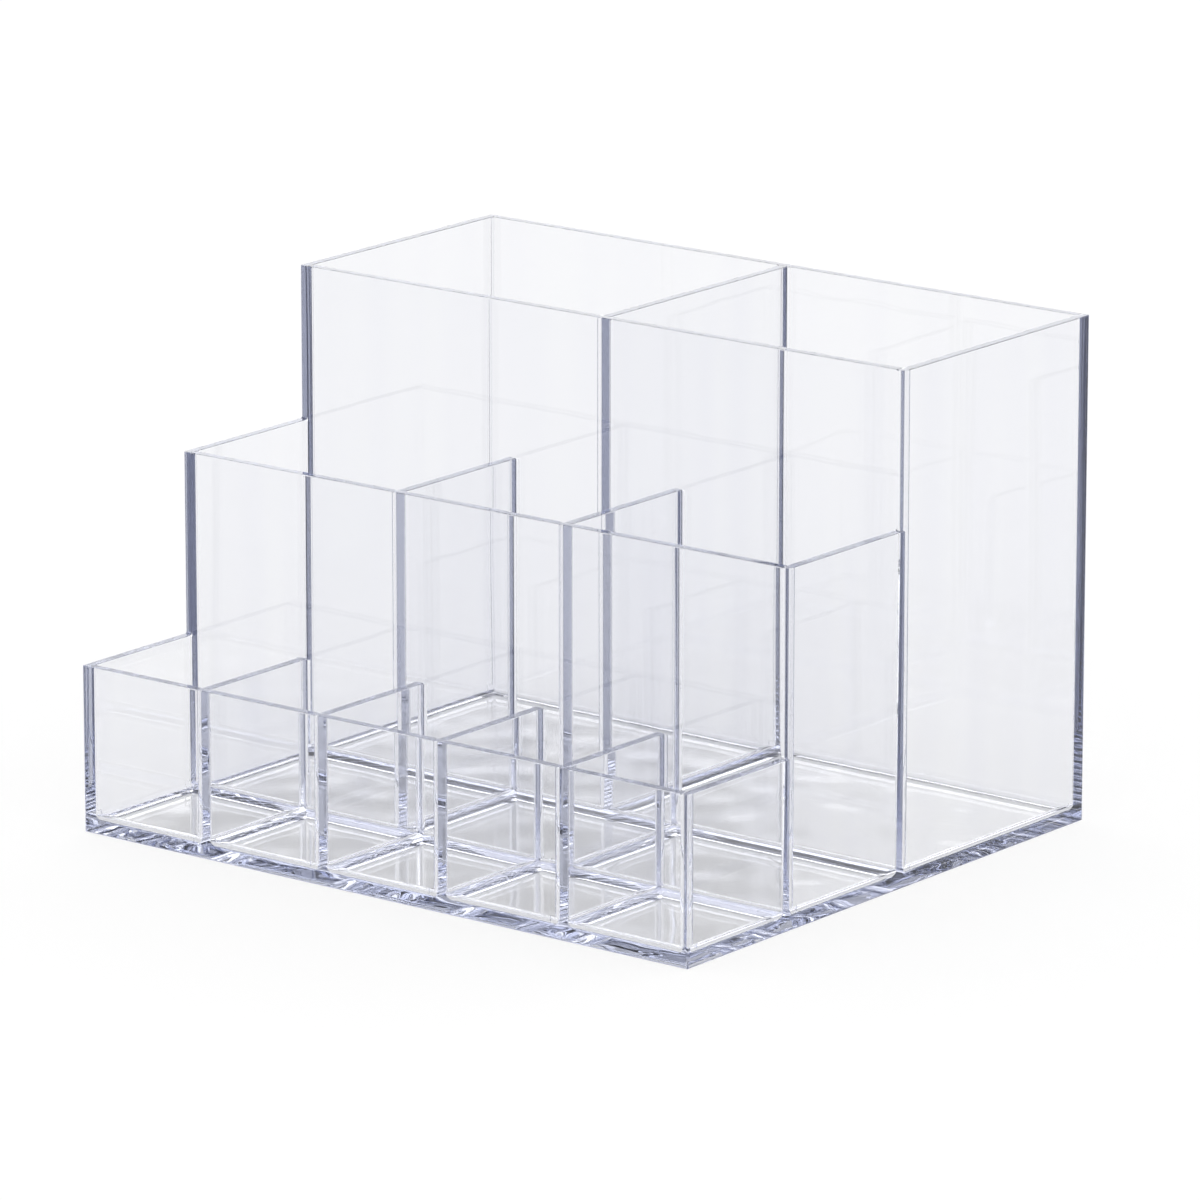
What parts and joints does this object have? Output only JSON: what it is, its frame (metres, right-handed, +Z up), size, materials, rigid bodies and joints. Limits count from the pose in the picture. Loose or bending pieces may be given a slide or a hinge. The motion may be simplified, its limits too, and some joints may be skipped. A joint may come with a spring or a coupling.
{
  "type": "vanity organizer",
  "caption": "Clear plastic vanity organizer with stepped rows of open compartments, low at the front and tall at the back, for cosmetics, brushes and bottles.",
  "frame": {"origin": "middle of the underside of the base plate", "axes": "+Z up, -Y towards the low front row, +X to the right seen from the front"},
  "size_m": [0.234, 0.2, 0.16],
  "materials": {
    "clear_plastic": "polished, water clear with a faint cool tint"
  },
  "bodies": {
    "root": {"base_plate": "clear_plastic", "left_side_panel": "clear_plastic", "right_side_panel": "clear_plastic", "front_wall": "clear_plastic", "middle_row_wall": "clear_plastic", "rear_row_wall": "clear_plastic", "back_wall": "clear_plastic", "front_divider_1": "clear_plastic", "front_divider_2": "clear_plastic", "front_divider_3": "clear_plastic", "front_divider_4": "clear_plastic", "middle_divider_left": "clear_plastic", "middle_divider_right": "clear_plastic", "rear_divider": "clear_plastic"}
  },
  "joints": []
}
